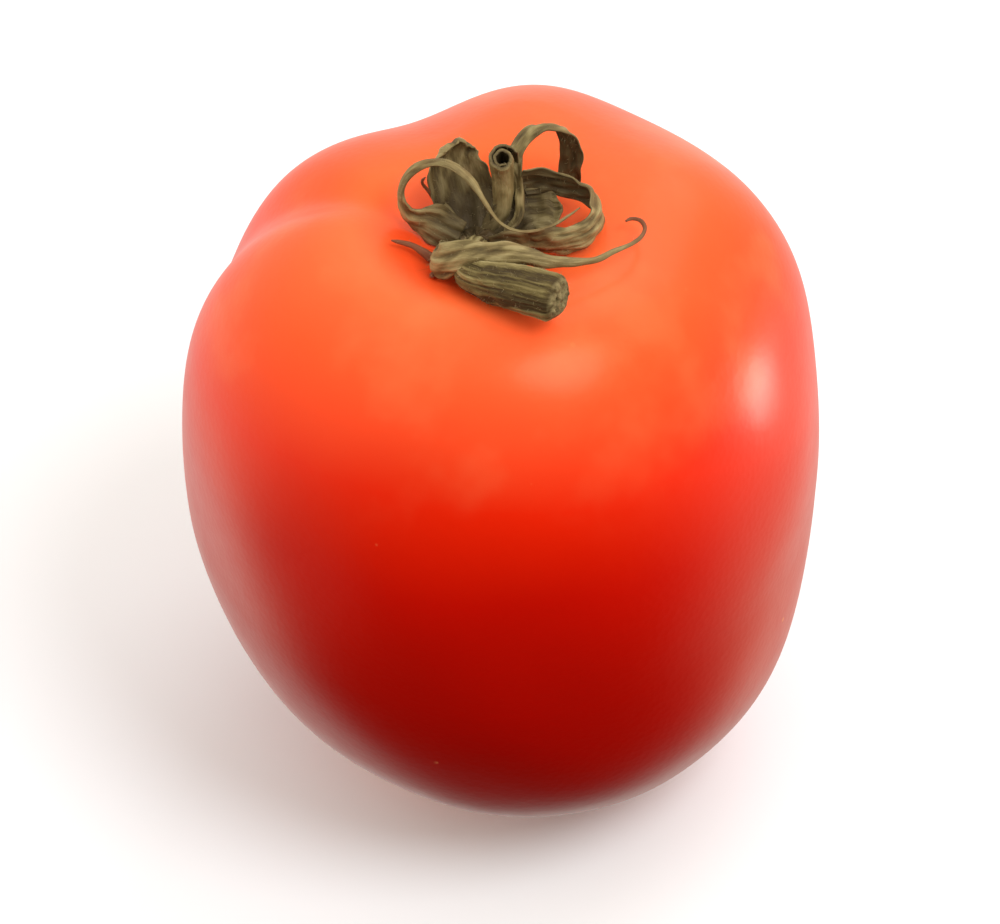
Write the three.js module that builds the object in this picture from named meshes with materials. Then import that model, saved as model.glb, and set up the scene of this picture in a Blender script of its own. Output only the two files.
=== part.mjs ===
// A whole plum tomato standing on its blossom end, with its dried calyx and its stalk stub.
// Millimetres and degrees, +Z up. The origin is the centre of the flat spot that the fruit rests on.
// Angles round the fruit start at +X and turn towards +Y, which is the back.
import * as THREE from "three";

// ---------------------------------------------------------------- driving dimensions

const GAP = 0.3; // clear distance between two pieces that touch

const FRUIT = {
  length: 69, // flat spot to shoulders
  radius: 29, // at the widest belt
  beltHeight: 33, // of the widest belt above the flat spot
  shoulderPower: 2.7, // 2 is an ellipse, and more is squarer
  basePower: 2.15,
  pressedFlat: 1, // how much of the round end the flat spot takes away
  lean: 3.6, // how far the belt stands to the left of the flat spot
  shoulderShift: { x: -0.8, y: -0.6 },
  shoulderTilt: 0.6, // how much the right shoulder is higher
  sides: 64,
  rows: 40,
};

// Soft furrows and swellings that run down from the shoulders: where, how deep and how wide.
const FURROWS = [
  { at: 166, depth: 1.6, width: 12 },
  { at: 112, depth: 1.1, width: 18 },
];
const SWELLINGS = [
  { at: 76, depth: 1.7, width: 20 },
  { at: 18, depth: 2.3, width: 28 },
  { at: 196, depth: 1.9, width: 34 },
  { at: 270, depth: 0.8, width: 40 },
];

// The hollow round the stem, which is a little to the left of the middle and towards the front.
const CAVITY = { depth: 4.6, reach: 9.5, x: -1.6, y: -2.3, shiftReach: 13 };

const HUB = { radius: 2.6, height: 1.0, sides: 20 };

const STUB = {
  neckRadius: 1.0,
  endRadius: 1.95,
  ridges: 7,
  ridgeDepth: 0.07, // as a share of the radius
  sides: 28,
  steps: 26,
  start: [0, -0.6], // over the hub
  // centre line after the start, measured from the seat of the stem: right, back and up
  path: [
    [-0.3, -2.8, 3.1],
    [-0.5, -4.8, 3.1],
    [-0.5, -6.8, 3.2],
    [0.8, -8.6, 4.0],
    [2.9, -10.6, 5.1],
    [5.0, -12.3, 5.8],
    [6.9, -13.7, 6.2],
  ],
};

// Each sepal is a ribbon that starts at the hub's rim, at an angle round it and a height over the seat,
// and then follows its path, measured from the seat like the stub's. width, thickness and facing
// change evenly from base to tip. facing is the way that its outer side looks.
const SEPAL_THICKNESS = 0.5;
const SEPAL_STEPS = 34;
const SEPAL_SECTION = [
  [1, 0],
  [0.75, 0.8],
  [0, 1],
  [-0.75, 0.8],
  [-1, 0],
  [-0.75, -0.8],
  [0, -1],
  [0.75, -0.8],
]; // shares of half the width and half the thickness
const SEPALS = {
  sepal_left_spike: {
    base: { at: 207, height: 1.0 },
    path: [
      [-3.6, -2.4, 1.4],
      [-4.7, -2.1, 1.9],
      [-5.8, -1.7, 2.3],
      [-7.5, -1.8, 2.9],
    ],
    width: [1.2, 0.9, 0.6, 0.35],
    facing: [[0, -0.5, 1]],
  },
  sepal_left_loop: {
    base: { at: 170, height: 1.2 },
    path: [
      [-4.2, 0.9, 2.1],
      [-6.1, 1.6, 3.2],
      [-6.7, 2.1, 4.7],
      [-6.4, 2.4, 6.2],
      [-5.4, 2.4, 7.6],
      [-3.9, 2.1, 8.6],
      [-2.5, 1.3, 9.1],
      [-1.1, 0.6, 8.6],
      [0, -0.3, 7.7],
      [1.0, -1.1, 6.3],
      [1.9, -1.7, 5.1],
      [3.0, -2.1, 4.5],
      [4.3, -2.3, 4.4],
      [5.7, -2.1, 4.5],
      [7.0, -1.7, 4.8],
      [7.9, -1.3, 5.1],
    ],
    width: [2.8, 3.0, 1.5, 0.9, 0.9, 0.8, 0.7, 0.6, 0.5, 0.4],
    facing: [
      [-0.3, -0.7, 0.6],
      [-0.9, -0.3, 0.1],
      [0, -0.3, 1],
      [0.6, 0.3, 0.7],
      [0.2, 0.5, 0.8],
    ],
  },
  sepal_back_left: {
    base: { at: 107, height: 1.3 },
    path: [
      [-0.9, 3.7, 3.3],
      [-1.4, 4.5, 5.4],
      [-1.7, 4.9, 6.7],
      [-1.6, 5.1, 8.0],
    ],
    width: [2.8, 4.2, 3.8, 3.3, 1.6],
    facing: [
      [0.1, -1, 0.4],
      [0.1, -0.9, 0.3],
    ],
  },
  sepal_rolled: {
    base: { at: 62, height: 1.3 },
    path: [
      [2.2, 2.5, 2.6],
      [2.35, 2.8, 4.6],
      [2.35, 3.2, 6.4],
      [2.35, 3.6, 8.1],
    ],
    width: [1.3, 1.6, 1.8, 2.0, 2.4],
    thickness: [1.0, 1.2, 1.4, 1.6, 1.8],
    facing: [[0, -1, 0.3]],
  },
  sepal_back_loop: {
    base: { at: 8, height: 1.3 },
    path: [
      [3.7, 1.6, 2.4],
      [3.8, 2.7, 3.9],
      [3.7, 3.9, 5.4],
      [3.5, 4.9, 6.5],
      [4.4, 5.6, 7.7],
      [5.9, 6.0, 8.3],
      [7.2, 6.2, 8.2],
      [8.4, 6.3, 7.1],
      [8.9, 6.2, 5.4],
      [8.5, 5.7, 4.2],
    ],
    width: [1.3, 1.1, 1.1, 1.4, 1.8, 2.0, 1.6],
    facing: [
      [-1, 0, 0.1],
      [-1, -0.2, 0.3],
      [-0.4, -0.4, 0.8],
      [0.2, -0.1, 1],
      [0.6, 0.7, -0.1],
    ],
  },
  sepal_back_right: {
    base: { at: 35, height: 1.3 },
    path: [
      [4.5, 2.2, 2.0],
      [6.1, 1.9, 2.7],
      [7.6, 1.5, 3.3],
    ],
    width: [1.2, 2.8, 3.2, 2.6, 1.2],
    facing: [[0, -0.7, 0.8]],
  },
  sepal_right_ring: {
    base: { at: 335, height: 1.3 },
    path: [
      [4.9, -2.0, 2.5],
      [6.5, -2.6, 3.4],
      [8.1, -3.0, 4.0],
      [9.7, -2.6, 4.2],
      [10.7, -0.7, 4.4],
      [10.2, 0.9, 4.5],
      [9.0, 1.9, 4.6],
      [7.4, 2.6, 4.7],
      [5.7, 3.0, 4.8],
      [4.7, 3.1, 4.8],
    ],
    width: [1.4, 2.0, 2.2, 2.2, 2.0, 1.8, 1.3],
    facing: [
      [0.2, -1, 0.3],
      [0.4, -0.9, 0.3],
      [1, -0.2, 0.2],
      [0.6, 0.8, -0.2],
      [0, 1, -0.3],
    ],
  },
  sepal_front_long: {
    base: { at: 238, height: 1.3 },
    path: [
      [-2.7, -3.5, 2.2],
      [-3.2, -4.6, 2.8],
      [-2.8, -5.7, 3.9],
      [-1.1, -6.6, 5.2],
      [0.8, -7.1, 6.0],
      [2.4, -7.5, 6.5],
      [4.0, -7.9, 6.7],
      [5.6, -8.1, 6.5],
      [7.1, -8.0, 6.0],
      [8.6, -7.7, 5.6],
      [10.3, -7.0, 5.4],
      [12.0, -5.9, 5.3],
      [13.6, -4.6, 5.1],
      [14.5, -3.4, 4.9],
      [14.8, -2.1, 4.8],
      [14.4, -1.1, 4.7],
      [13.6, -0.8, 4.6],
      [13.1, -1.2, 4.6],
    ],
    width: [1.4, 2.0, 2.1, 1.7, 1.3, 1.2, 0.9, 0.6, 0.5, 0.4],
    facing: [
      [-0.4, -0.8, 0.4],
      [0, -0.8, 0.6],
      [0, -0.5, 0.9],
      [0, -0.3, 1],
    ],
  },
};

// ---------------------------------------------------------------- materials

const skin = new THREE.MeshStandardMaterial({ color: 0xe8401c, roughness: 0.28 });
const driedLeaf = new THREE.MeshStandardMaterial({ color: 0x857a4b, roughness: 0.8 });
const stalk = new THREE.MeshStandardMaterial({ color: 0x766c3c, roughness: 0.85 });

// ---------------------------------------------------------------- shapes

const radians = THREE.MathUtils.degToRad;
const clamp = THREE.MathUtils.clamp;
const up = new THREE.Vector3(0, 0, 1);

// A closed body through a row of rings, each a loop of points, with a fan over both ends.
function loft(rings) {
  const sides = rings[0].length;
  const middle = (ring) => ring.reduce((sum, p) => sum.add(p), new THREE.Vector3()).divideScalar(sides);
  const points = [...rings.flat(), middle(rings[0]), middle(rings.at(-1))];
  const faces = [];
  for (let i = 0; i < sides; i++) {
    const j = (i + 1) % sides;
    for (let row = 0; row < rings.length - 1; row++) {
      const a = row * sides;
      const b = a + sides;
      faces.push([a + i, b + i, b + j], [a + i, b + j, a + j]);
    }
    const last = (rings.length - 1) * sides;
    faces.push([points.length - 2, i, j], [points.length - 1, last + j, last + i]);
  }
  const six = (f) => points[f[0]].dot(points[f[1]].clone().cross(points[f[2]]));
  const insideOut = faces.reduce((volume, f) => volume + six(f), 0) < 0;
  if (insideOut) faces.forEach((f) => f.reverse());
  const geometry = new THREE.BufferGeometry().setFromPoints(points);
  geometry.setIndex(faces.flat());
  geometry.computeVertexNormals();
  return geometry;
}

// The value at t, from 0 to 1, of evenly spaced values joined by straight lines.
function along(values, t) {
  const place = t * (values.length - 1);
  const i = Math.floor(place);
  return THREE.MathUtils.lerp(values[i], values[i + 1] ?? values[i], place - i);
}

// The sum of the furrows or swellings at one angle round the fruit.
function reliefAt(angle, list) {
  return list.reduce((sum, { at, depth, width }) => {
    const away = Math.atan2(Math.sin(angle - radians(at)), Math.cos(angle - radians(at)));
    return sum + depth * Math.exp(-((away / radians(width)) ** 2));
  }, 0);
}

// The point of the fruit's skin at an angle round it and a polar angle from the stem, both in radians.
function skinPoint(angle, polar) {
  const { length, radius, beltHeight, pressedFlat, lean, shoulderShift, shoulderTilt } = FRUIT;
  const upper = polar < Math.PI / 2;
  const power = upper ? FRUIT.shoulderPower : FRUIT.basePower;
  const reach = upper ? length - beltHeight : beltHeight + pressedFlat;
  const cosine = Math.cos(polar);
  const share = Math.sin(polar) ** (2 / power); // of the belt's radius
  let z = beltHeight + Math.sign(cosine) * reach * Math.abs(cosine) ** (2 / power);
  const rise = clamp((z - beltHeight) / (length - beltHeight), -1, 1);
  const shoulder = clamp(rise, 0, 1);
  const offStem = clamp(share / 0.5, 0, 1) ** 1.5; // no relief close to the stem
  const relief = reliefAt(angle, SWELLINGS) - reliefAt(angle, FURROWS);
  const r = radius * share + relief * clamp((rise + 0.35) / 1.1, 0, 1) ** 1.3 * offStem;
  z += relief * 0.5 * shoulder * offStem;
  z += shoulderTilt * Math.cos(angle) * share * shoulder;
  const nearStem = upper ? radius * share : Infinity;
  z -= CAVITY.depth * Math.exp(-((nearStem / CAVITY.reach) ** 2));
  const stemShift = Math.exp(-((nearStem / CAVITY.shiftReach) ** 2));
  const low = clamp((beltHeight - z) / beltHeight, 0, 1);
  const x = r * Math.cos(angle) + lean * (low ** 1.3 - 1) + shoulderShift.x * shoulder + CAVITY.x * stemShift;
  const y = r * Math.sin(angle) + shoulderShift.y * shoulder + CAVITY.y * stemShift;
  return new THREE.Vector3(x, y, z);
}

// The fruit: rings from the stem down to the rim of the flat spot, whose fan is the flat spot.
function fruitGeometry() {
  const { beltHeight, pressedFlat, basePower, rows, sides } = FRUIT;
  const rim = Math.PI - Math.acos((beltHeight / (beltHeight + pressedFlat)) ** (basePower / 2));
  const rings = [];
  for (let row = 1; row <= rows; row++) {
    const ring = [];
    for (let i = 0; i < sides; i++) ring.push(skinPoint((i / sides) * 2 * Math.PI, (row / rows) * rim));
    rings.push(ring);
  }
  rings.at(-1).forEach((p) => p.setZ(0));
  return loft(rings);
}

const fruit = new THREE.Mesh(fruitGeometry(), skin);
fruit.name = "fruit";
const seat = new THREE.Vector3().fromBufferAttribute(
  fruit.geometry.getAttribute("position"),
  FRUIT.rows * FRUIT.sides, // the middle of the first ring, where the stem sits
);

// The height of the skin above the seat, at a place measured from the seat.
function skinHeight(x, y) {
  const from = new THREE.Vector3(seat.x + x, seat.y + y, FRUIT.length * 2);
  const hit = new THREE.Raycaster(from, up.clone().negate()).intersectObject(fruit)[0];
  return hit ? hit.point.z - seat.z : -Infinity;
}

// The hub that the sepals grow from: a low dome whose underside follows the hollow.
function hubGeometry() {
  const { radius, height, sides } = HUB;
  const circle = (r, z) =>
    Array.from({ length: sides }, (_, i) => {
      const angle = (i / sides) * 2 * Math.PI;
      return new THREE.Vector3(r * Math.cos(angle), r * Math.sin(angle), z);
    });
  const under = (r) => Math.max(...circle(r, 0).map((p) => skinHeight(p.x, p.y))) + GAP;
  const rings = [0.25, 0.6, 1].map((share) => circle(radius * share, under(radius * share)));
  const base = under(radius);
  for (let k = 1; k <= 5; k++) {
    const turn = (k / 6) * (Math.PI / 2);
    rings.push(circle(radius * Math.cos(turn), base + height * Math.sin(turn)));
  }
  return { geometry: loft(rings), top: base + height };
}

// Frames along a curve: evenly spaced places, each with its direction.
function stations(path, steps) {
  const curve = new THREE.CatmullRomCurve3(path.map((p) => new THREE.Vector3(...p)), false, "centripetal");
  return Array.from({ length: steps + 1 }, (_, k) => {
    const t = k / steps;
    return { t, place: curve.getPointAt(t), direction: curve.getTangentAt(t) };
  });
}

// How far a round or flat section at this place must rise to clear the skin.
function shortfall(place, side, halfWidth, halfThickness) {
  const edges = [-halfWidth, 0, halfWidth].map((w) => place.clone().addScaledVector(side, w));
  return Math.max(...edges.map((p) => skinHeight(p.x, p.y) + GAP + halfThickness - p.z), 0);
}

// The stalk stub: a ridged tube that thickens from the hub to a blunt cut end.
function stubGeometry(hubTop) {
  const { neckRadius, endRadius, ridges, ridgeDepth, sides, steps, path } = STUB;
  const start = [...STUB.start, hubTop + GAP + neckRadius];
  const core = stations([start, ...path], steps).map(({ t, place, direction }) => {
    const across = new THREE.Vector3().crossVectors(up, direction).normalize();
    const over = new THREE.Vector3().crossVectors(direction, across);
    const swell = THREE.MathUtils.smoothstep(t, 0.25, 0.75);
    const radius = THREE.MathUtils.lerp(neckRadius, endRadius, swell);
    const outer = radius * (1 + ridgeDepth);
    place.z += shortfall(place, across, radius, outer);
    return { place, across, over, swell, radius, outer };
  });
  const rings = core.map(({ place, across, over, swell, radius }) =>
    Array.from({ length: sides }, (_, i) => {
      const angle = (i / sides) * 2 * Math.PI;
      const ridged = radius * (1 + ridgeDepth * swell * Math.cos(ridges * angle));
      return place
        .clone()
        .addScaledVector(across, ridged * Math.cos(angle))
        .addScaledVector(over, ridged * Math.sin(angle));
    }),
  );
  return { geometry: loft(rings), core };
}

// Moves a ribbon's place away from the stub until the ribbon clears it.
function clearStub(stubCore, place, side, outward, halfWidth, halfThickness) {
  for (const { place: middle, outer } of stubCore) {
    const away = place.clone().sub(middle);
    const distance = away.length();
    away.normalize();
    const reach = halfWidth * Math.abs(side.dot(away)) + halfThickness * Math.abs(outward.dot(away));
    place.addScaledVector(away, Math.max(outer + GAP + reach - distance, 0));
  }
}

// A sepal: a ribbon with rounded edges, kept clear of the skin and the stub.
function sepalGeometry({ base, path, width, thickness = [SEPAL_THICKNESS], facing }, stubCore) {
  const rim = HUB.radius + GAP + thickness[0] / 2;
  const start = [rim * Math.cos(radians(base.at)), rim * Math.sin(radians(base.at)), base.height];
  const rings = stations([start, ...path], SEPAL_STEPS).map(({ t, place, direction }) => {
    const outward = new THREE.Vector3(...[0, 1, 2].map((axis) => along(facing.map((f) => f[axis]), t)));
    const side = new THREE.Vector3().crossVectors(direction, outward).normalize();
    outward.crossVectors(side, direction);
    const halfWidth = along(width, t) / 2;
    const halfThickness = along(thickness, t) / 2;
    clearStub(stubCore, place, side, outward, halfWidth, halfThickness);
    place.z += shortfall(place, side, halfWidth, halfThickness);
    return SEPAL_SECTION.map(([w, h]) =>
      place
        .clone()
        .addScaledVector(side, w * halfWidth)
        .addScaledVector(outward, h * halfThickness),
    );
  });
  return loft(rings);
}

// ---------------------------------------------------------------- the tomato

const calyx = new THREE.Group();
calyx.position.copy(seat);

function add(name, geometry, material) {
  const mesh = new THREE.Mesh(geometry, material);
  mesh.name = name;
  calyx.add(mesh);
}

const hub = hubGeometry();
const stub = stubGeometry(hub.top);
add("calyx_hub", hub.geometry, driedLeaf);
add("stalk_stub", stub.geometry, stalk);
for (const [name, sepal] of Object.entries(SEPALS)) add(name, sepalGeometry(sepal, stub.core), driedLeaf);

const tomato = new THREE.Group();
tomato.add(fruit, calyx);

export default tomato;
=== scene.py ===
"""The plum tomato's looks: glossy skin, dried curled calyx and ridged stalk stub, around the CAD frame.

Sizes are millimetres in the tables and metres in the meshes. The origin is the centre of the flat spot
that the fruit rests on, +Z is up, and -Y is the front.
"""

import math

import bpy
import numpy as np
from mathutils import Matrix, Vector
from mathutils.bvhtree import BVHTree


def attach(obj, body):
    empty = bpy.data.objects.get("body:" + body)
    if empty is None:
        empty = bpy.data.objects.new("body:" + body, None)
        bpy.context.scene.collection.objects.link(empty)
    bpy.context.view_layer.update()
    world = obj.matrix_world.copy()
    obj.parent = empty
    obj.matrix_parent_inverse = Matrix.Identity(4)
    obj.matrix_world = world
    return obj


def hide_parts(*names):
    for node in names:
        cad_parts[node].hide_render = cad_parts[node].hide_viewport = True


MM = 0.001
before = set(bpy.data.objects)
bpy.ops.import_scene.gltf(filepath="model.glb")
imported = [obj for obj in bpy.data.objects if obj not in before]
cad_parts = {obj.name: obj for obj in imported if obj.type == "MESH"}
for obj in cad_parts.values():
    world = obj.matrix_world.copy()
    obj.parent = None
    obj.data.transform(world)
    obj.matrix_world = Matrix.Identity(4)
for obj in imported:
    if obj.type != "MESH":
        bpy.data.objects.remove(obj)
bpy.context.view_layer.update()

# ------------ sizes of the fruit, as the CAD part has them

LENGTH = 69
RADIUS = 29
BELT_HEIGHT = 33
SHOULDER_POWER = 2.7
BASE_POWER = 2.15
PRESSED_FLAT = 1
LEAN = 3.6
SHOULDER_SHIFT = (-0.8, -0.6)
SHOULDER_TILT = 0.6
FURROWS = [(166, 1.6, 12), (112, 1.1, 18)]  # degrees round the fruit, depth, width in degrees
SWELLINGS = [(76, 1.7, 20), (18, 2.3, 28), (196, 1.9, 34), (270, 0.8, 40)]
CAVITY_DEPTH = 4.6
CAVITY_REACH = 9.5
STEM_SHIFT = (-1.6, -2.3)
STEM_SHIFT_REACH = 13
SKIN_SIDES = 288
SKIN_ROWS = 190
SKIN_UNEVENNESS = (0.1, 19)  # height and size of its faint hills
FLAT_RINGS = 10
SCAR_RADIUS = 1.7  # of the corky blossom scar in the middle of the flat spot
SCAR_DEPTH = 0.35

# ------------ sizes of the calyx and the stub

SEAT_GAP = 0.1  # between the skin and what lies on it
HUB_RADIUS = 2.6
HUB_HEIGHT = 1.3

STUB = {
    "path": [
        (-0.1, -0.9, 0.9), (-0.3, -1.9, 2.0), (-0.5, -3.2, 2.8), (-0.7, -4.9, 3.1), (-0.6, -6.7, 3.4),
        (0.6, -8.3, 4.1), (2.8, -10.1, 5.1), (5.0, -11.7, 5.9), (7.2, -13.0, 6.3),
    ],
    "radius": [1.3, 1.15, 1.2, 1.35, 1.6, 1.85, 1.95, 2.0, 2.05],
}
STUB_STEPS = 170
STUB_SIDES = 144
RIDGE_FADE = 0.8  # the length over which the ridges sink towards the cut end
END_ROUNDING = 0.7
CUT_FACE_RINGS = (0.92, 0.84, 0.74, 0.62, 0.5, 0.38, 0.26, 0.14, 0.05)  # shares of the cut face's radius
PITH_RIM = 0.45  # where a low rim lies on it

# base: angle round the hub and height; curl: degrees that the leaf bends across its width; facing: its outer
# side; shade: how much painted shade darkens its inner side; scroll: how far it rolls up into itself
SEPALS = {
    "sepal_left_spike": {
        "base": (207, 0.9),
        "path": [(-3.6, -2.4, 1.4), (-4.7, -2.1, 1.9), (-5.8, -1.7, 2.3), (-7.5, -1.8, 2.9)],
        "width": [2.2, 1.5, 1.0, 0.6, 0.35],
        "curl": [30, 120, 200, 160],
        "red_tip": 2.4,
        "facing": [(0, -0.5, 1), (0, -0.4, 1)],
    },
    "sepal_left_loop": {
        "base": (170, 0.7),
        "path": [
            (-4.2, 0.9, 2.0), (-6.1, 1.6, 3.2), (-6.7, 2.1, 4.7), (-6.4, 2.4, 6.2), (-5.4, 2.4, 7.6),
            (-3.9, 2.1, 8.6), (-2.5, 1.3, 9.1), (-1.1, 0.6, 8.6), (0, -0.3, 7.7), (1.0, -1.1, 6.3),
            (1.9, -1.7, 5.1), (3.0, -2.1, 4.5), (4.3, -2.3, 4.4), (5.7, -2.1, 4.5), (7.0, -1.7, 4.8),
            (8.2, -1.0, 5.2), (9.1, -0.4, 5.5),
        ],
        "width": [3.0, 4.1, 2.4, 1.0, 0.8, 0.8, 0.8, 0.65, 0.55, 0.5, 0.42, 0.25],
        "shade": [0.6, 0.5, 0.4, 0.3],
        "curl": [60, 50, 40, 30, 40, 60, 80, 100, 120],
        "facing": [
            (-0.3, -0.7, 0.6), (-0.9, -0.3, 0.1), (0, -0.3, 1), (0.6, 0.3, 0.7), (0.2, 0.5, 0.8),
        ],
    },
    "sepal_back_left": {
        "base": (112, 0.5),
        "path": [(-1.2, 3.4, 3.1), (-1.8, 4.6, 5.3), (-2.0, 5.3, 7.2), (-1.5, 4.9, 8.6)],
        "width": [2.6, 6.2, 6.7, 6.1, 5.0, 3.2],
        "curl": [90, 110, 110, 100, 120, 150],
        "shade": [1, 1, 0.6, 0.15, 0],
        "facing": [(-0.1, 1, -0.4), (-0.2, 0.9, -0.1), (-0.3, 0.8, 0.5)],
    },
    "sepal_rolled": {
        "base": (58, 0.4),
        "path": [(2.1, 2.6, 2.6), (2.3, 3.4, 4.5), (2.35, 3.7, 6.2), (2.25, 3.4, 7.8), (2.2, 2.9, 8.6)],
        "width": [1.6, 3.4, 5.6, 7.8, 9.6, 10.2],
        "curl": [100, 260, 420, 560, 630, 640],
        "shade": [0.7, 0.6, 0.8, 1],
        "scroll": 0.42,
        "columns": 49,
        "facing": [(0.2, -1, 0.3), (0.2, -1, 0.1), (0.2, -0.7, -0.4)],
    },
    "sepal_back_loop": {
        "base": (8, 0.6),
        "path": [
            (3.6, 1.7, 2.4), (3.75, 2.7, 4.0), (3.5, 3.9, 5.7), (3.4, 5.0, 7.1), (4.3, 5.8, 8.4),
            (5.6, 6.2, 9.1), (7.0, 6.3, 9.0), (8.1, 6.3, 7.8), (8.5, 6.2, 6.0), (8.4, 6.0, 4.3),
            (8.2, 5.7, 2.9),
        ],
        "width": [2.0, 1.7, 1.5, 1.6, 1.6, 1.8, 2.0, 2.2, 2.0],
        "curl": [60, 70, 60, 50, 40, 50],
        "shade": [0.3, 0.3, 0.8, 1, 1],
        "facing": [
            (-1, 0, 0.1), (-1, -0.1, 0.2), (-0.8, -0.3, 0.5), (-0.2, -0.4, 0.9),
            (0.1, 0.7, 0.9), (0.3, 1, 0.1), (0.15, 1, 0.1),
        ],
    },
    "sepal_back_right": {
        "base": (33, 0.5),
        "path": [(4.4, 2.5, 1.9), (6.1, 2.4, 2.6), (7.6, 2.1, 3.2)],
        "width": [1.8, 4.2, 5.8, 5.4, 2.2],
        "curl": [70, 80, 70, 50],
        "shade": [1, 0.9, 0.4, 0.2],
        "facing": [(0, 0.7, -0.8), (0, 0.7, -0.8)],
    },
    "sepal_right_ring": {
        "base": (335, 0.7),
        "path": [
            (4.8, -1.9, 2.4), (6.5, -2.6, 3.4), (8.1, -3.0, 4.0), (9.7, -2.5, 4.3), (10.7, -0.5, 4.6),
            (10.3, 1.4, 5.0), (9.1, 2.5, 5.1), (7.4, 3.2, 5.2), (5.7, 3.5, 5.3), (3.8, 3.6, 5.1),
        ],
        "width": [2.2, 2.8, 2.8, 2.7, 2.8, 3.0, 3.1],
        "curl": [60, 60, 60, 60, 70],
        "shade": [0.8, 0.8, 0.9, 0.9],
        "facing": [(0.2, -1, 0.3), (0.4, -0.9, 0.3), (1, -0.2, 0.3), (0.6, 0.8, 0.1), (0, 1, 0.1)],
    },
    "sepal_front_long": {
        "base": (238, 0.5),
        "path": [
            (-2.4, -3.0, 1.7), (-3.6, -4.5, 2.6), (-3.0, -5.7, 3.8), (-1.1, -6.6, 5.1), (0.8, -7.1, 5.9),
            (2.4, -7.5, 6.4), (4.0, -7.9, 6.6), (5.6, -8.1, 6.4), (7.1, -8.0, 6.0), (8.6, -7.7, 5.6),
            (10.3, -7.0, 5.4), (12.0, -5.9, 5.3), (13.6, -4.6, 5.1), (14.5, -3.4, 4.9), (14.8, -2.1, 4.8),
            (14.4, -1.1, 4.7), (13.6, -0.8, 4.6), (13.1, -1.2, 4.6),
        ],
        "width": [2.2, 3.2, 3.5, 3.0, 2.3, 1.6, 1.0, 0.65, 0.5, 0.45, 0.35],
        "curl": [50, 70, 80, 80, 110, 160, 180, 180],
        "red_tip": 0.95,
        "facing": [
            (-0.6, 0.5, 0.5), (-0.9, -0.1, 0.3), (-0.3, -0.8, 0.5), (0, -0.8, 0.6), (0, -0.7, 0.7),
            (0, -0.6, 0.8), (0, -0.5, 0.9), (0, -0.4, 0.9), (0, -0.3, 1),
        ],
    },
    "thin_curl": {
        "base": (140, 0.6),
        "path": [(-2.6, 2.9, 2.5), (-3.6, 3.0, 3.4), (-4.4, 2.8, 4.8), (-4.8, 2.6, 5.9), (-4.5, 2.5, 6.5)],
        "width": [0.9, 0.6, 0.45, 0.3],
        "curl": [60, 120, 160],
        "red_tip": 1.6,
        "facing": [(0, -0.6, 0.8), (-0.4, -0.6, 0.6)],
    },
    "broken_tip": {
        "base": (232, 0.5),
        "path": [(-2.4, -3.3, 1.2), (-3.3, -4.4, 1.5), (-3.8, -5.2, 1.5), (-3.9, -5.5, 1.0)],
        "width": [1.0, 1.1, 1.0, 0.7],
        "curl": [60, 140, 200, 200],
        "red_tip": 1.5,
        "facing": [(-0.3, -0.5, 0.8), (-0.3, -0.8, 0.6)],
    },
}
EXTRAS = ("thin_curl", "broken_tip")  # too thin and small to be nodes of the CAD part
SEPAL_STEPS = 170
SEPAL_COLUMNS = 21
SEPAL_THICKNESS = 0.3
FOLDS = [(0.075, 0.9), (0.035, 0.4)]  # height and size of the fine folds
FOLD_STRETCH = 0.28  # below 1, so that the folds run lengthwise
RUFFLE = (0.14, 3.2)  # height and size of the waves along the edges
RIB = (0.14, 0.13)  # height, and half width as a share of the leaf's
FULL_RELIEF_WIDTH = 2.5  # a narrower leaf has flatter folds
TIP_LENGTH = 0.5  # over which a tip closes

HAIRS = {"Hairs per Area": 1.6e6, "Length": 0.42 * MM, "Radius": 0.014 * MM, "Lean": 0.6, "Seed": 7}
HAIR_SIDES = 3

# ------------ camera, floor and light

VIEW_ELEVATION = math.radians(45)
VIEW_DISTANCE = 0.42
VIEW_TARGET = Vector((-3.9 * MM, 0, 35 * MM))
LENS = 161
FLOOR_PALE = (0.86, 0.91, 0.98)  # cool enough to look neutral in the warm light
STUDIO = {
    "all round": (1.0, 0.95, 0.87),
    "right": (1.25, 1.0, 0.72),
    "left": (1.6, 1.5, 1.2),
    "low front": (0.03, 0.012, 0.01),
}
STUDIO_STRENGTH = 0.96


def set_camera():
    """A long lens from the front, looking down at 45 degrees."""
    back = Vector((0, -math.cos(VIEW_ELEVATION), math.sin(VIEW_ELEVATION)))
    data = bpy.data.cameras.new("camera")
    data.lens = LENS
    camera = bpy.data.objects.new("camera", data)
    camera.location = VIEW_TARGET + back * VIEW_DISTANCE
    camera.rotation_euler = (-back).to_track_quat("-Z", "Y").to_euler()
    bpy.context.scene.collection.objects.link(camera)
    bpy.context.scene.camera = camera


def add_light(name, place, size, watts):
    """A round area light at place that faces the fruit."""
    data = bpy.data.lights.new(name, "AREA")
    data.shape = "DISK"
    data.size = size
    data.energy = watts
    light = bpy.data.objects.new(name, data)
    light.location = place
    light.rotation_euler = (VIEW_TARGET - Vector(place)).to_track_quat("-Z", "Y").to_euler()
    light.visible_camera = False
    bpy.context.scene.collection.objects.link(light)


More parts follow.
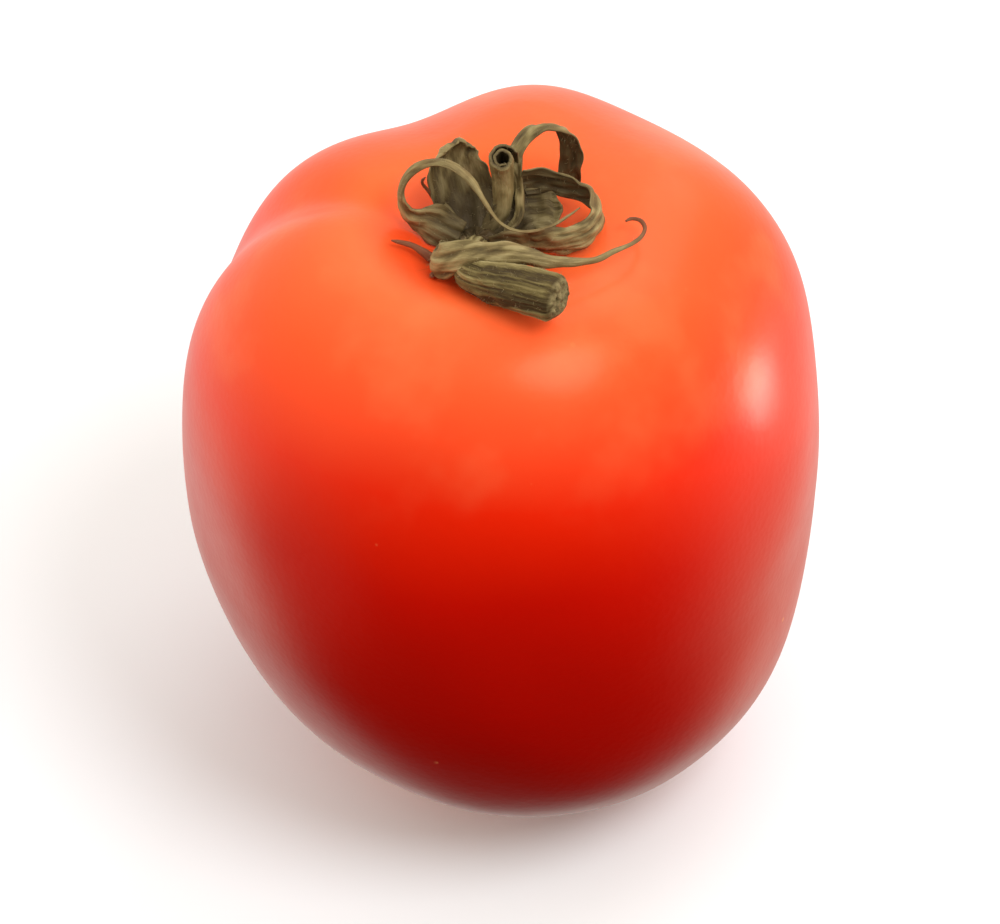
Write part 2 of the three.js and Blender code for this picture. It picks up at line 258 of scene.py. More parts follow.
def set_world():
    """Nearly white all round, warmer to the right, brighter to the left and dark low in front."""
    world = bpy.data.worlds.new("studio")
    bpy.context.scene.world = world
    world.use_nodes = True
    s = Nodes(world.node_tree)
    look = s.node("ShaderNodeTexCoord", out="Generated")
    facing = {"operation": "DOT_PRODUCT"}
    right = s.node("ShaderNodeVectorMath", facing, {0: look, 1: (1, 0, 0)}, "Value")
    low_front = s.node("ShaderNodeVectorMath", facing, {0: look, 1: (0, -0.7, -0.71)}, "Value")
    colour = s.mix(s.rise(right, 0.1, 0.9), STUDIO["all round"], STUDIO["right"])
    colour = s.mix(s.rise(right, -0.4, -0.95), colour, STUDIO["left"])
    colour = s.mix(s.rise(low_front, 0.2, 0.8), colour, STUDIO["low front"])
    s.set(world.node_tree.nodes["Background"].inputs, {"Color": colour, "Strength": STUDIO_STRENGTH})


def set_stage():
    """A pale floor, which only takes shadows, and soft studio light."""
    bpy.context.scene.view_settings.view_transform = "Standard"
    set_world()
    add_light("front", (0.24, -0.22, 0.54), 0.27, 1.65)
    add_light("back", (0.22, 0.30, 0.50), 0.42, 0.6)
    add_light("right", (0.18, 0.03, 0.014), 0.05, 0.075)
    half = 2.0
    corners = [(-half, -half, 0), (half, -half, 0), (half, half, 0), (-half, half, 0)]
    floor = mesh_object("floor", corners, [(0, 1, 2, 3)])
    floor.visible_diffuse = False
    floor.visible_glossy = False
    shader = Shader("pale_floor")
    shader.set(shader.surface.inputs, {"Base Color": FLOOR_PALE, "Roughness": 0.9, "Specular IOR Level": 0.1})
    floor.data.materials.append(shader.material)


# ------------ shader maths


class Out:
    """A node's output, with arithmetic that adds Math nodes to its tree."""

    def __init__(self, nodes, socket):
        self.nodes = nodes
        self.socket = socket

    def math(self, operation, first, second=0.0):
        return self.nodes.node("ShaderNodeMath", {"operation": operation}, {0: first, 1: second})

    def __add__(self, other):
        return self.math("ADD", self, other)

    def __sub__(self, other):
        return self.math("SUBTRACT", self, other)

    def __rsub__(self, other):
        return self.math("SUBTRACT", other, self)

    def __mul__(self, other):
        return self.math("MULTIPLY", self, other)

    def __truediv__(self, other):
        return self.math("DIVIDE", self, other)

    def __pow__(self, other):
        return self.math("POWER", self, other)

    __radd__ = __add__
    __rmul__ = __mul__


class Nodes:
    """A node tree, and one way to add a node to it."""

    def __init__(self, tree):
        self.tree = tree

    def set(self, sockets, values):
        for key, value in values.items():
            if isinstance(value, Out):
                self.tree.links.new(value.socket, sockets[key])
            elif isinstance(value, tuple) and len(value) == 3 and sockets[key].type == "RGBA":
                sockets[key].default_value = (*value, 1)
            else:
                sockets[key].default_value = value

    def node(self, kind, settings=None, values=None, out=0):
        """Adds a node: its settings first, then the values or links of its sockets."""
        made = self.tree.nodes.new(kind)
        for key, value in (settings or {}).items():
            if key == "stops":
                while len(made.color_ramp.elements) < len(value):
                    made.color_ramp.elements.new(0.5)
                for element, (place, colour) in zip(made.color_ramp.elements, value):
                    element.position = place
                    element.color = (*colour, 1)
            else:
                setattr(made, key, value)
        self.set(made.inputs, values or {})
        return Out(self, made.outputs[out])

    def rise(self, value, low, high):
        """0 below low, 1 above high, and a smooth step between. low may be the larger."""
        sockets = {"Value": value, "From Min": low, "From Max": high}
        return self.node("ShaderNodeMapRange", {"interpolation_type": "SMOOTHSTEP"}, sockets)

    def mix(self, share, first, second):
        return self.node("ShaderNodeMix", {"data_type": "RGBA"}, {0: share, 6: first, 7: second}, 2)


class Shader(Nodes):
    """A material and the nodes that feed its surface shader."""

    def __init__(self, name):
        self.material = bpy.data.materials.new(name)
        self.material.use_nodes = True
        super().__init__(self.material.node_tree)
        self.surface = self.tree.nodes["Principled BSDF"]

    def place(self):
        return self.node("ShaderNodeTexCoord", out="Object")

    def split(self, vector):
        first = self.node("ShaderNodeSeparateXYZ", values={0: vector})
        return [Out(self, first.socket.node.outputs[axis]) for axis in range(3)]

    def join(self, x, y, z):
        return self.node("ShaderNodeCombineXYZ", values={0: x, 1: y, 2: z})

    def attribute(self, name):
        return self.node("ShaderNodeAttribute", {"attribute_name": name}, out="Fac")

    def noise(self, vector, scale, detail=2.0, roughness=0.5):
        values = {"Vector": vector, "Scale": scale, "Detail": detail, "Roughness": roughness}
        return self.node("ShaderNodeTexNoise", values=values)

    def cells(self, vector, scale):
        """The distance to the nearest of scattered points."""
        return self.node("ShaderNodeTexVoronoi", values={"Vector": vector, "Scale": scale})

    def ramp(self, value, stops):
        return self.node("ShaderNodeValToRGB", {"stops": stops}, {0: value})

    def bump(self, height, distance, strength):
        values = {"Height": height, "Distance": distance, "Strength": strength}
        return self.node("ShaderNodeBump", values=values)

    def finish(self, **values):
        self.set(self.surface.inputs, {key.replace("_", " "): value for key, value in values.items()})
        return self.material


# ------------ mesh helpers


def mesh_object(name, points, faces):
    mesh = bpy.data.meshes.new(name)
    mesh.from_pydata([tuple(p) for p in points], [], faces)
    mesh.validate()
    made = bpy.data.objects.new(name, mesh)
    bpy.context.scene.collection.objects.link(made)
    return made


def signed_volume(points, *face_sets):
    """Six times the volume inside the faces: below 0 when they point inwards."""
    total = 0
    for faces in face_sets:
        corners = points[faces]
        for k in range(1, faces.shape[1] - 1):
            total += np.sum(corners[:, 0] * np.cross(corners[:, k], corners[:, k + 1]))
    return total


def lofted(name, rings, thin=False, **attributes):
    """A closed smooth mesh through rings of points. Attributes have a value per point.

    Its ends are closed by a fan round the middle, or, on a thin strip, across from one face to the other.
    """
    rows, sides = rings.shape[:2]
    points = rings.reshape(-1, 3)
    column = np.arange(sides)
    beside = (column + 1) % sides
    start = (np.arange(rows - 1) * sides)[:, None]
    above = start + sides
    quads = np.stack([start + column, above + column, above + beside, start + beside], axis=-1).reshape(-1, 4)
    last = (rows - 1) * sides
    if thin:
        j = np.arange(sides // 2 - 1)
        cap = np.stack([j, j + 1, sides - 2 - j, sides - 1 - j], axis=-1)
        caps = np.concatenate([cap, cap[:, ::-1] + last])
    else:
        centre = np.full(sides, rows * sides)
        fans = [(centre, column, beside), (centre + 1, last + beside, last + column)]
        caps = np.concatenate([np.stack(fan, axis=-1) for fan in fans])
        points = np.concatenate([points, rings[:1].mean(axis=1), rings[-1:].mean(axis=1)])
    faces = [tuple(map(int, face)) for face in [*quads, *caps]]
    if signed_volume(points - points.mean(axis=0), quads, caps) < 0:
        faces = [face[::-1] for face in faces]
    made = mesh_object(name, points, faces)
    made.data.polygons.foreach_set("use_smooth", [True] * len(faces))
    for key, values in attributes.items():
        values = np.broadcast_to(values, (rows, sides)).ravel()
        if not thin:
            values = np.concatenate([values, values[:1], values[-1:]])
        made.data.attributes.new(key, "FLOAT", "POINT").data.foreach_set("value", values.astype(np.float32))
    return made


def ripple(places, size, seed, waves=14):
    """Smooth irregular hills of about unit height and the given size, at an array of places."""
    rng = np.random.default_rng(seed)
    total = np.zeros(places.shape[:-1])
    for _ in range(waves):
        direction = rng.normal(size=3)
        direction *= rng.uniform(0.6, 1.5) / (size * np.linalg.norm(direction))
        total += np.sin(places @ direction * 2 * np.pi + rng.uniform(0, 2 * np.pi))
    return total * math.sqrt(2 / waves)


def unit(vectors):
    """The vectors, each brought to length 1."""
    return vectors / np.linalg.norm(vectors, axis=-1, keepdims=True)


def curve_part(p, knots, t):
    """The centripetal curve from p[1] to p[2] at knot values t."""

    def between(a, b, low, high):
        return a + (b - a) * ((t - low) / (high - low))[:, None]

    first = [between(p[i], p[i + 1], knots[i], knots[i + 1]) for i in range(3)]
    second = [between(first[i], first[i + 1], knots[i], knots[i + 2]) for i in range(2)]
    return between(second[0], second[1], knots[1], knots[2])


def curve_through(points, count):
    """Evenly spaced places on a smooth curve through the points, and its directions there."""
    points = np.array(points, float)
    before = [2 * points[0] - points[1]]
    after = [2 * points[-1] - points[-2]]
    points = np.concatenate([before, points, after])
    fine = []
    for p in zip(points, points[1:], points[2:], points[3:]):
        knots = np.cumsum([0] + [np.linalg.norm(b - a) ** 0.5 for a, b in zip(p, p[1:])])
        fine.append(curve_part(p, knots, np.linspace(knots[1], knots[2], 30, endpoint=False)))
    fine = np.concatenate([*fine, points[-2:-1]])
    reach = np.concatenate([[0], np.cumsum(np.linalg.norm(np.diff(fine, axis=0), axis=1))])
    even = np.linspace(0, reach[-1], count)
    places = np.stack([np.interp(even, reach, fine[:, axis]) for axis in range(3)], axis=1)
    return places, unit(np.gradient(places, axis=0)), reach[-1]


def eased(values, count):
    """count values on a smooth curve through evenly spaced ones, which may be numbers or rows."""
    values = np.array(values, float)
    t = np.linspace(0, len(values) - 1, count)
    i = np.minimum(t.astype(int), len(values) - 2)
    share = t - i
    share = share * share * (3 - 2 * share)
    share = share.reshape(-1, *[1] * (values.ndim - 1))
    return values[i] * (1 - share) + values[i + 1] * share


# ------------ the fruit


def relief(angle, bumps):
    """The summed height, at angles round the fruit, of rounded bumps given as angle, height and width."""
    total = 0
    for at, depth, width in bumps:
        away = np.angle(np.exp(1j * (angle - math.radians(at))))
        total = total + depth * np.exp(-((away / math.radians(width)) ** 2))
    return total


def skin_points(angle, polar):
    """Points of the skin, in millimetres, at angles round the fruit and polar angles from the stem."""
    upper = polar < np.pi / 2
    power = np.where(upper, SHOULDER_POWER, BASE_POWER)
    reach = np.where(upper, LENGTH - BELT_HEIGHT, BELT_HEIGHT + PRESSED_FLAT)
    share = np.sin(polar) ** (2 / power)
    z = BELT_HEIGHT + np.sign(np.cos(polar)) * reach * np.abs(np.cos(polar)) ** (2 / power)
    rise = np.clip((z - BELT_HEIGHT) / (LENGTH - BELT_HEIGHT), -1, 1)
    shoulder = np.clip(rise, 0, 1)
    off_stem = np.clip(share / 0.5, 0, 1) ** 1.5
    bumps = relief(angle, SWELLINGS) - relief(angle, FURROWS)
    r = RADIUS * share + bumps * np.clip((rise + 0.35) / 1.1, 0, 1) ** 1.3 * off_stem
    z = z + bumps * 0.5 * shoulder * off_stem + SHOULDER_TILT * np.cos(angle) * share * shoulder
    near_stem = np.where(upper, RADIUS * share, np.inf)
    z = z - CAVITY_DEPTH * np.exp(-((near_stem / CAVITY_REACH) ** 2))
    stem_shift = np.exp(-((near_stem / STEM_SHIFT_REACH) ** 2))
    low = np.clip((BELT_HEIGHT - z) / BELT_HEIGHT, 0, 1)
    shift_x, shift_y = (SHOULDER_SHIFT[k] * shoulder + STEM_SHIFT[k] * stem_shift for k in (0, 1))
    x = r * np.cos(angle) + LEAN * (low**1.3 - 1) + shift_x
    y = r * np.sin(angle) + shift_y
    return np.stack([x, y, z], axis=-1)


def make_fruit():
    """The skin, closed below by the flat spot with its scar."""
    rim = math.pi - math.acos((BELT_HEIGHT / (BELT_HEIGHT + PRESSED_FLAT)) ** (BASE_POWER / 2))
    angle = np.linspace(0, 2 * np.pi, SKIN_SIDES, endpoint=False)
    polar = np.linspace(0, rim, SKIN_ROWS + 1)[1:]
    body = skin_points(angle[None, :], polar[:, None])
    outward = unit(body - np.array([-LEAN, 0, BELT_HEIGHT]))
    hill_height, hill_size = SKIN_UNEVENNESS
    off_floor = np.clip(body[..., 2:] / 6, 0, 1)
    body += outward * hill_height * ripple(body, hill_size, 3)[..., None] * off_floor
    body[..., 2] = np.maximum(body[..., 2], 0)
    middle = body[-1].mean(axis=0)
    flat = []
    for share in np.linspace(1, 0, FLAT_RINGS, endpoint=False)[1:]:
        ring = middle + (body[-1] - middle) * share
        scar = np.clip(1.6 - np.linalg.norm(ring - middle, axis=1) / SCAR_RADIUS, 0, 1)
        ring[:, 2] = SCAR_DEPTH * scar
        flat.append(ring)
    fruit = lofted("tomato_skin", np.concatenate([body, np.array(flat)]) * MM)
    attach(fruit, "root")
    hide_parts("fruit")
    return fruit


def ripe_colour_and_painted_shade(s, place, z, broad):
    """Orange shoulders with soft paler patches, to a deep red below that painted shade deepens further."""
    height = z / (LENGTH * MM) + (broad - 0.5) * 0.07
    # Partly painted shade: the skin's red deepens downwards, and the lowest stops are darker still as painted
    # shade.
    colour = s.ramp(height, [
        (0.0, (0.46, 0.002, 0.0004)),
        (0.45, (0.49, 0.003, 0.0004)),
        (0.66, (0.66, 0.005, 0.0006)),
        (0.80, (0.84, 0.016, 0.0012)),
        (0.93, (0.92, 0.085, 0.019)),
        (1.0, (0.95, 0.135, 0.042)),
    ])
    patches = s.rise(s.noise(place, 110, detail=3), 0.48, 0.70) * s.rise(z, 0.050, 0.062)
    return s.mix(patches * 0.18, colour, (0.97, 0.24, 0.09))


def cracks_round_stem(s, right, back, from_stem):
    """Fine cracks that run outwards from under the calyx."""
    turn = s.node("ShaderNodeMath", {"operation": "ARCTAN2"}, {0: back, 1: right})
    cracks = s.rise(s.noise(s.join(turn * 9, from_stem * 60, 0.3), 1.4, detail=2), 0.62, 0.70)
    return cracks * s.rise(from_stem, 0.0075, 0.0045)


def skin_material():
    """Waxy skin, paler round the stem, with a painted shadow of deeper red under the calyx, specks and a
    corky scar.
    """
    s = Shader("tomato_skin")
    place = s.place()
    x, y, z = s.split(place)
    right = x - seat[0] * MM
    back = y - seat[1] * MM
    from_stem = (right * right + back * back) ** 0.5
    broad = s.noise(place, 55, detail=2)
    fine = s.noise(place, 420, detail=3)
    colour = ripe_colour_and_painted_shade(s, place, z, broad)
    pale = s.rise(from_stem + (broad - 0.5) * 0.012, 0.017, 0.004)
    colour = s.mix(pale * 0.4, colour, (0.95, 0.24, 0.055))
    # Painted shadow: a ring of deeper red round the stem stands for the calyx's shadow on the skin.
    painted_calyx_shadow = s.rise(from_stem + (broad - 0.5) * 0.006, 0.0115, 0.006)
    colour = s.mix(painted_calyx_shadow * 0.8, colour, (0.86, 0.055, 0.008))
    specks = s.rise(s.cells(place, 260), 0.10, 0.05) * s.rise(s.noise(place, 150), 0.60, 0.66)
    colour = s.mix(specks * 0.55, colour, (0.95, 0.42, 0.16))
    colour = s.mix(cracks_round_stem(s, right, back, from_stem) * 0.5, colour, (0.30, 0.08, 0.02))
    scar = s.rise((x * x + y * y) ** 0.5 + z * 0.5, 0.0026, 0.0016)
    colour = s.mix(scar * s.rise(z, 0.004, 0.002), colour, (0.36, 0.27, 0.17))
    height = s.cells(place, 1500) * 0.5 + fine * 0.6 + s.noise(place, 140, detail=2) * 1.5
    return s.finish(
        Base_Color=colour,
        Roughness=0.33 + (fine - 0.5) * 0.08 + scar * 0.4 + specks * 0.15,
        Normal=s.bump(height, 0.00006, 0.35),
        Subsurface_Weight=0.12,
        Subsurface_Radius=(1.0, 0.2, 0.08),
        Subsurface_Scale=0.002,
        Coat_Weight=0.11,
        Coat_Roughness=0.2,
        Coat_IOR=1.5,
        IOR=1.48,
        Specular_Tint=(1.0, 0.36, 0.14),
    )


# ------------ the calyx and the stub


def lifted(places, sides, half_widths, half_thickness):
    """The places, raised where a strip of that width would dip into the skin."""
    lift = np.zeros(len(places))
    for share in (-1, 0, 1):
        edges = places + sides * (share * half_widths)[:, None]
        for k, edge in enumerate(edges):
            above = Vector((*((edge[:2] + seat[:2]) * MM), 1.0))
            hit = skin_tree.ray_cast(above, Vector((0, 0, -1)))[0]
            if hit:
                lift[k] = max(lift[k], hit.z / MM - seat[2] + SEAT_GAP - edge[2])
    lift = np.where(lift > 0, lift + half_thickness, 0)
    raised = places.copy()
    raised[:, 2] += np.convolve(np.pad(lift, 4, mode="edge"), np.ones(9) / 9, mode="valid")
    return raised


def cross_section(u, width, bend, scroll):
    """Sideways and inward places and the heading across a strip that bends by that angle in all.

    A scroll above 0 bends one edge more than the other, so that a strip rolls up into itself.
    """
    v = (u + 1) / 2
    heading = bend * (v - 0.5 + scroll * (v * v - v + 0.25))
    step = width / (u.shape[1] - 1)
    middle = (heading[:, 1:] + heading[:, :-1]) / 2
    start = np.zeros((len(bend), 1))
    sideways = np.concatenate([start, np.cumsum(step * np.cos(middle), axis=1)], axis=1)
    inwards = np.concatenate([start, np.cumsum(step * np.sin(middle), axis=1)], axis=1)
    sideways -= sideways.mean(axis=1, keepdims=True)
    inwards -= inwards.mean(axis=1, keepdims=True)
    return sideways, inwards, heading


def sepal_widths(sepal, places, t, length, seed):
    """The leaf's width at each step: a little uneven, and closing at its tip unless it is rolled."""
    width = eased(sepal["width"], SEPAL_STEPS)
    width *= 1 + 0.05 * ripple(places, 3.0, seed)
    if "scroll" not in sepal:
        width *= np.clip((1 - t) * length / TIP_LENGTH, 0.15, 1) ** 0.6
    return width


def sepal_relief(sepal, places, u, across, along, seed):
    """Heights of the folds, the ruffled edges and the rib above the leaf's smooth curl."""
    flat = np.stack([across, np.broadcast_to(along * FOLD_STRETCH, across.shape), across * 0], axis=-1)
    folds = sum(height * ripple(flat, size, seed + k) for k, (height, size) in enumerate(FOLDS, 1))
    ruffle = RUFFLE[0] * np.abs(u) ** 3 * ripple(places, RUFFLE[1], seed + 3)[:, None] * np.sign(u)
    rib = RIB[0] * np.exp(-((u / RIB[1]) ** 2))
    if "scroll" in sepal:
        return folds * 0.35, ruffle * 0.2, rib
    return folds, ruffle, rib


def make_sepal(name, sepal, seed):
    """A thin leaf along its path, curled across its width, with a rib, folds and uneven edges."""
    turn = math.radians(sepal["base"][0])
    start = (HUB_RADIUS * 0.6 * math.cos(turn), HUB_RADIUS * 0.6 * math.sin(turn), sepal["base"][1])
    places, directions, length = curve_through([start, *sepal["path"]], SEPAL_STEPS)
    t = np.linspace(0, 1, SEPAL_STEPS)
    width = sepal_widths(sepal, places, t, length, seed)
    outward = eased(sepal["facing"], SEPAL_STEPS)
    side = unit(np.cross(directions, outward))
    outward = np.cross(side, directions)
    places = lifted(places, side, width / 2, SEPAL_THICKNESS / 2)

    columns = sepal.get("columns", SEPAL_COLUMNS)
    u = np.linspace(-1, 1, columns)[None, :]
    bend = np.radians(eased(sepal["curl"], SEPAL_STEPS))[:, None]
    sideways, inwards, heading = cross_section(u, width[:, None], bend, sepal.get("scroll", 0))
    normal = outward[:, None] * np.cos(heading)[..., None] + side[:, None] * np.sin(heading)[..., None]
    middle = places[:, None] + side[:, None] * sideways[..., None] - outward[:, None] * inwards[..., None]

    across = u * width[:, None] / 2
    along = (t * length)[:, None]
    folds, ruffle, rib = sepal_relief(sepal, places, u, across, along, seed)
    scale = np.clip(width / FULL_RELIEF_WIDTH, 0.12, 1)[:, None]
    middle = middle + normal * ((folds + ruffle + 0.5 * rib) * scale)[..., None]
    half = SEPAL_THICKNESS / 2 * (1 - 0.5 * np.abs(u) ** 4) * np.clip(width / 0.9, 0.4, 1)[:, None]
    outer = middle + normal * (half + 0.4 * rib * scale)[..., None]
    inner = middle - normal * half[..., None]
    # Painted light and shade: lighter where the folds and rib stand up, darker in the hollows, reversed on
    # the inner side.
    ridge = np.clip(0.5 + (folds + 0.5 * rib) * 5 * scale, 0, 1)
    leaf = lofted(
        name + "_leaf",
        (np.concatenate([outer, inner[:, ::-1]], axis=1) + seat) * MM,
        thin=True,
        across=np.concatenate([across, across[:, ::-1]], axis=1),
        along=along,
        tip=(t * sepal.get("red_tip", 0))[:, None],
        ridge=np.concatenate([ridge, 1 - ridge[:, ::-1]], axis=1),
        # Painted shade on the inner side, as strong as the leaf's shade list.
        inner=np.repeat([0.0, 1.0], columns) * eased(sepal.get("shade", [0.7, 0.7]), SEPAL_STEPS)[:, None],
    )
    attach(leaf, "root")
    if name not in EXTRAS:
        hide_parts(name)
    return leaf


def stalk_ridges(t, angle, from_end):
    """Heights of the lengthwise ridges, as shares of the radius."""
    round_stalk = np.stack([np.cos(angle) + 0 * t, np.sin(angle) + 0 * t, t * 1.5 + 0 * angle], axis=-1)
    twisted = angle + 0.5 * t + 0.12 * ripple(round_stalk, 1.5, 24)
    ridges = (0.09 + 0.04 * ripple(round_stalk, 1.8, 25)) * np.abs(np.cos(5.5 * twisted)) ** 1.4
    ridges += 0.03 * np.cos(4 * twisted + 1) + 0.014 * np.cos(27 * twisted)
    return ridges * np.clip(from_end / RIDGE_FADE, 0.2, 1)


def cut_face(rim, direction):
    """Rings that close towards the middle of the cut: rough, and dished round the pith."""
    middle = rim.mean(axis=0)
    out = rim - middle
    even = unit(out) * np.linalg.norm(out, axis=1).mean()
    face = []
    for share in CUT_FACE_RINGS:
        ring = middle + share * (even + (out - even) * share**2)
        dish = 0.12 * math.exp(-(((share - PITH_RIM) / 0.12) ** 2))
        depth = 0.07 * ripple(ring, 0.5, 23) + 0.18 * (1 - share**2) - dish
        face.append(ring + direction * depth[:, None])
    return np.array(face)


def make_stub():
    """The ridged stalk from the hub to its blunt, fibrous cut end."""
    places, directions, length = curve_through(STUB["path"], STUB_STEPS)
    radius = eased(STUB["radius"], STUB_STEPS)
    across = unit(np.cross((0, 0, 1), directions))
    over = np.cross(directions, across)
    places = lifted(places, across, radius, radius)
    t = np.linspace(0, 1, STUB_STEPS)[:, None]
    angle = np.linspace(0, 2 * np.pi, STUB_SIDES, endpoint=False)[None, :]
    from_end = (1 - t) * length
    ridges = stalk_ridges(t, angle, from_end)
    swell = np.clip((t - 0.2) / 0.4, 0, 1)
    blunt = np.sqrt(np.clip(1 - np.clip(1 - from_end / END_ROUNDING, 0, 1) ** 2 * 0.4, 0, 1))
    shape = radius[:, None] * (0.95 + ridges * (0.3 + 0.7 * swell)) * blunt
    rings = places[:, None] + across[:, None] * (shape * np.cos(angle))[..., None]
    rings = rings + over[:, None] * (shape * np.sin(angle))[..., None]
    rough = 0.05 * ripple(rings, 2.4, 21) + 0.01 * ripple(rings, 0.6, 22)
    rings += unit(rings - places[:, None]) * rough[..., None]

    face = cut_face(rings[-1], directions[-1])
    along = np.concatenate([t[:, 0] * length, np.full(len(face), length)])[:, None]
    cut = np.concatenate([np.clip(1 - from_end[:, 0] / 0.3, 0, 1), np.ones(len(face))])[:, None]
    # Painted light and shade: lighter on the ridges, darker in the grooves, middling on the cut face.
    ridge = np.concatenate([np.clip(ridges / 0.14, 0, 1), np.full((len(face), STUB_SIDES), 0.5)])
    rings = (np.concatenate([rings, face]) + seat) * MM
    stub = lofted("stalk", rings, turn=angle, along=along, cut=cut, ridge=ridge)
    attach(stub, "root")
    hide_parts("stalk_stub")
    return stub


def make_hub():
    """The low puckered dome that the sepals grow from."""
    sides, rows = 120, 26
    angle = np.linspace(0, 2 * np.pi, sides, endpoint=False)[None, :]
    turn = np.linspace(0.06, np.pi * 0.5, rows)[:, None]
    pucker = 1 + 0.08 * np.cos(8 * angle + 0.4) * np.sin(turn)
    r = HUB_RADIUS * np.sin(turn) * pucker
    z = 0.35 + HUB_HEIGHT * np.cos(turn) * (1 + 0.1 * np.cos(8 * angle))
    rings = np.stack([r * np.cos(angle), r * np.sin(angle), z + 0 * angle], axis=-1)
    skirt = rings[-1:] * np.array([1, 1, 0]) + np.array([0, 0, 0.1])
    under = skirt * np.array([0.5, 0.5, 1])
    rings = np.concatenate([rings, skirt, under])
    rings[:rows] += unit(rings[:rows]) * (0.08 * ripple(rings[:rows], 0.9, 31))[..., None]
    # Painted shade: the whole hub is darkened like an inner side.
    hub = lofted("calyx_centre", (rings + seat) * MM, across=0, along=0, tip=0, ridge=0.3, inner=1)
    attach(hub, "root")
    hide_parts("calyx_hub")
    return hub


def leaf_material():
    """Dry leaf, red-brown at some tips; painted light on ridges, painted shade in hollows, inner sides and
    root.
    """
    s = Shader("dried_leaf")
    place = s.place()
    across = s.attribute("across")
    along = s.attribute("along")
    inner = s.attribute("inner")
    ridge = s.attribute("ridge")
    tip = s.attribute("tip")
    fibres = s.noise(s.join(across * 5, along * 0.45, inner * 3), 1.0, detail=4, roughness=0.6)
    veins = s.noise(s.join(across * 14, along * 0.8, inner * 5), 1.0, detail=2)
    blotch = s.noise(place, 600, detail=4, roughness=0.6)
    fine = s.noise(s.join(across * 22, along * 1.6, inner), 1.0, detail=3)
    # The ridge mask in this tone paints light on the ridges and shade in the hollows.
    tone = fibres * 0.32 + blotch * 0.2 + fine * 0.22 + ridge * 0.26
    colour = s.ramp(tone, [
        (0.30, (0.050, 0.032, 0.009)),
        (0.43, (0.135, 0.098, 0.034)),
        (0.56, (0.250, 0.195, 0.080)),
        (0.72, (0.400, 0.330, 0.160)),
    ])
    # Painted shade: the inner sides, and the hub all over, darken as far as their shade says.
    colour = s.mix(inner * 0.85, colour, (0.040, 0.023, 0.005))
    # Painted shade: darker towards the root, in the hollow at the calyx's middle.
    colour = s.mix(s.rise(along, 5.0, 0.8) * 0.7, colour, (0.050, 0.032, 0.009))
    brown = s.rise(s.noise(place, 260, detail=2), 0.52, 0.68)
    colour = s.mix(brown * 0.3, colour, (0.17, 0.085, 0.025))
    colour = s.mix(s.rise(tip, 0.74, 0.88) * 0.8, colour, (0.17, 0.034, 0.012))
    height = fibres * 0.5 + veins * 0.35 + s.noise(place, 2600, detail=3) * 0.35
    return s.finish(
        Base_Color=colour,
        Roughness=0.68 + (blotch - 0.5) * 0.3,
        Normal=s.bump(height, 0.0002, 0.7),
        Specular_IOR_Level=0.4,
    )


def stalk_material():
    """Dry stalk with a grainy cut: painted light on its ridges and painted shade in its grooves."""
    s = Shader("dried_stalk")
    place = s.place()
    turn = s.attribute("turn")
    along = s.attribute("along")
    cut = s.attribute("cut")
    fibres = s.noise(s.join(turn * 9, along * 0.5, 0.0), 1.0, detail=4, roughness=0.6)
    blotch = s.noise(place, 520, detail=4, roughness=0.6)
    # The ridge mask in this tone paints light on the ridges and shade in the grooves.
    tone = fibres * 0.36 + blotch * 0.2 + s.attribute("ridge") * 0.44
    colour = s.ramp(tone, [
        (0.28, (0.045, 0.028, 0.007)),
        (0.40, (0.130, 0.098, 0.032)),
        (0.54, (0.250, 0.200, 0.080)),
        (0.72, (0.400, 0.340, 0.165)),
    ])
    grain = s.ramp(s.noise(place, 1800, detail=3), [
        (0.35, (0.08, 0.058, 0.02)),
        (0.65, (0.25, 0.205, 0.095)),
    ])
    colour = s.mix(cut, colour, grain)
    height = fibres + s.noise(place, 2400, detail=3) * 0.4
    return s.finish(
        Base_Color=colour,
        Roughness=0.78 + (blotch - 0.5) * 0.2,
        Normal=s.bump(height, 0.00022, 0.7),
        Specular_IOR_Level=0.3,
    )


# ------------ fine hairs on the dried leaves and the stalk


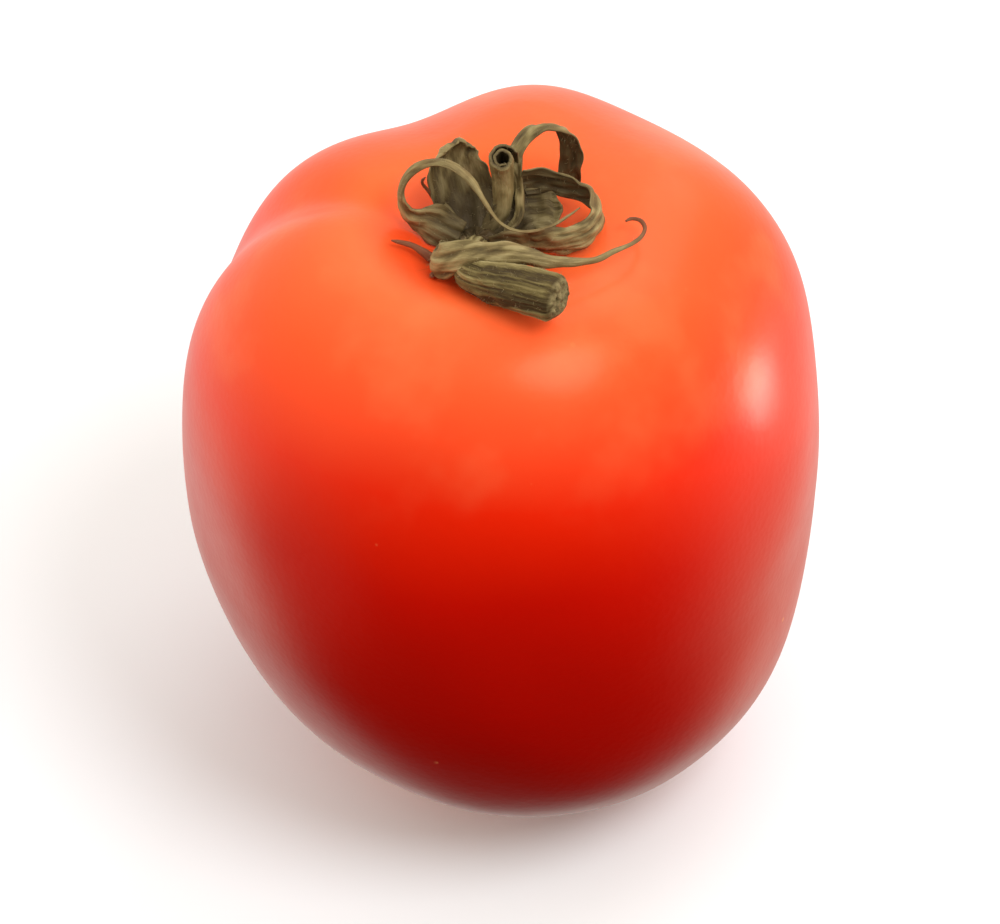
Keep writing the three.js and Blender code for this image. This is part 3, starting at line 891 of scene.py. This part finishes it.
def hair_tree(material):
    """Short tapering hairs, scattered over a surface and leaning at random."""
    tree = bpy.data.node_groups.new("fine_hairs", "GeometryNodeTree")
    sockets = {
        "Leaves": "NodeSocketGeometry", "Hairs per Area": "NodeSocketFloat", "Length": "NodeSocketFloat",
        "Radius": "NodeSocketFloat", "Lean": "NodeSocketFloat", "Seed": "NodeSocketInt",
    }
    for name, kind in sockets.items():
        tree.interface.new_socket(name, in_out="INPUT", socket_type=kind)
    tree.interface.new_socket("Hairs", in_out="OUTPUT", socket_type="NodeSocketGeometry")
    g = Nodes(tree)
    given = tree.nodes.new("NodeGroupInput")
    leaves, density, length, radius, lean, seed = [Out(g, socket) for socket in given.outputs[:6]]
    spread = {"Mesh": leaves, "Density": density, "Seed": seed}
    points = g.node("GeometryNodeDistributePointsOnFaces", {}, spread)
    facing = Out(g, points.socket.node.outputs["Rotation"])
    hair_size = {
        "Vertices": HAIR_SIDES, "Radius Top": radius * 0.15, "Radius Bottom": radius, "Depth": length,
    }
    hair = g.node("GeometryNodeMeshCone", {"fill_type": "NGON"}, hair_size)
    any_way = {0: (-1, -1, -1), 1: (1, 1, 1), "Seed": seed}
    tilt = g.node("FunctionNodeRandomValue", {"data_type": "FLOAT_VECTOR"}, any_way)
    tilt = g.node("ShaderNodeVectorMath", {"operation": "SCALE"}, {0: tilt, "Scale": lean})
    tilted = g.node("FunctionNodeRotateRotation", {"rotation_space": "LOCAL"}, {0: facing, 1: tilt})
    size = g.node("FunctionNodeRandomValue", {"data_type": "FLOAT"}, {2: 0.5, 3: 1.0, "Seed": seed + 1}, 1)
    placed = {"Points": points, "Instance": hair, "Rotation": tilted, "Scale": size}
    hairs = g.node("GeometryNodeInstanceOnPoints", {}, placed)
    hairs = g.node("GeometryNodeRealizeInstances", {}, {0: hairs})
    hairs = g.node("GeometryNodeSetMaterial", {}, {0: hairs, "Material": material})
    g.set(tree.nodes.new("NodeGroupOutput").inputs, {0: hairs})
    return tree


def make_hairs(leaves, material):
    """One piece that holds the hairs of all the given pieces."""
    points, faces = [], []
    for piece in leaves:
        first = len(points)
        points += [vertex.co.copy() for vertex in piece.data.vertices]
        faces += [[first + corner for corner in face.vertices] for face in piece.data.polygons]
    ground = mesh_object("hair_ground", points, faces)
    hairs = ground.modifiers.new("hairs", "NODES")
    hairs.node_group = hair_tree(material)
    for item in hairs.node_group.interface.items_tree:
        if item.name in HAIRS:
            hairs[item.identifier] = HAIRS[item.name]
    bpy.context.view_layer.update()
    mesh = bpy.data.meshes.new_from_object(ground.evaluated_get(bpy.context.evaluated_depsgraph_get()))
    bpy.data.objects.remove(ground)
    made = bpy.data.objects.new("calyx_hairs", mesh)
    bpy.context.scene.collection.objects.link(made)
    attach(made, "root")
    return made


def hair_material():
    """Pale dry hairs, some browner."""
    s = Shader("hairs")
    tone = s.noise(s.place(), 900, detail=1)
    return s.finish(Base_Color=s.mix(tone, (0.20, 0.15, 0.06), (0.50, 0.42, 0.24)), Roughness=0.6)


# ------------ making it all

set_camera()
set_stage()

fruit = make_fruit()
seat = skin_points(np.zeros(1), np.full(1, 1e-4))[0]
bpy.context.view_layer.update()
skin_tree = BVHTree.FromObject(fruit, bpy.context.evaluated_depsgraph_get())
fruit.data.materials.append(skin_material())

leaf = leaf_material()
grown = [make_hub()]
for number, (node_name, node_sepal) in enumerate(SEPALS.items()):
    grown.append(make_sepal(node_name, node_sepal, 100 + 10 * number))
for piece in grown:
    piece.data.materials.append(leaf)
stub = make_stub()
stub.data.materials.append(stalk_material())
make_hairs([*grown, stub], hair_material())

bpy.context.view_layer.update()
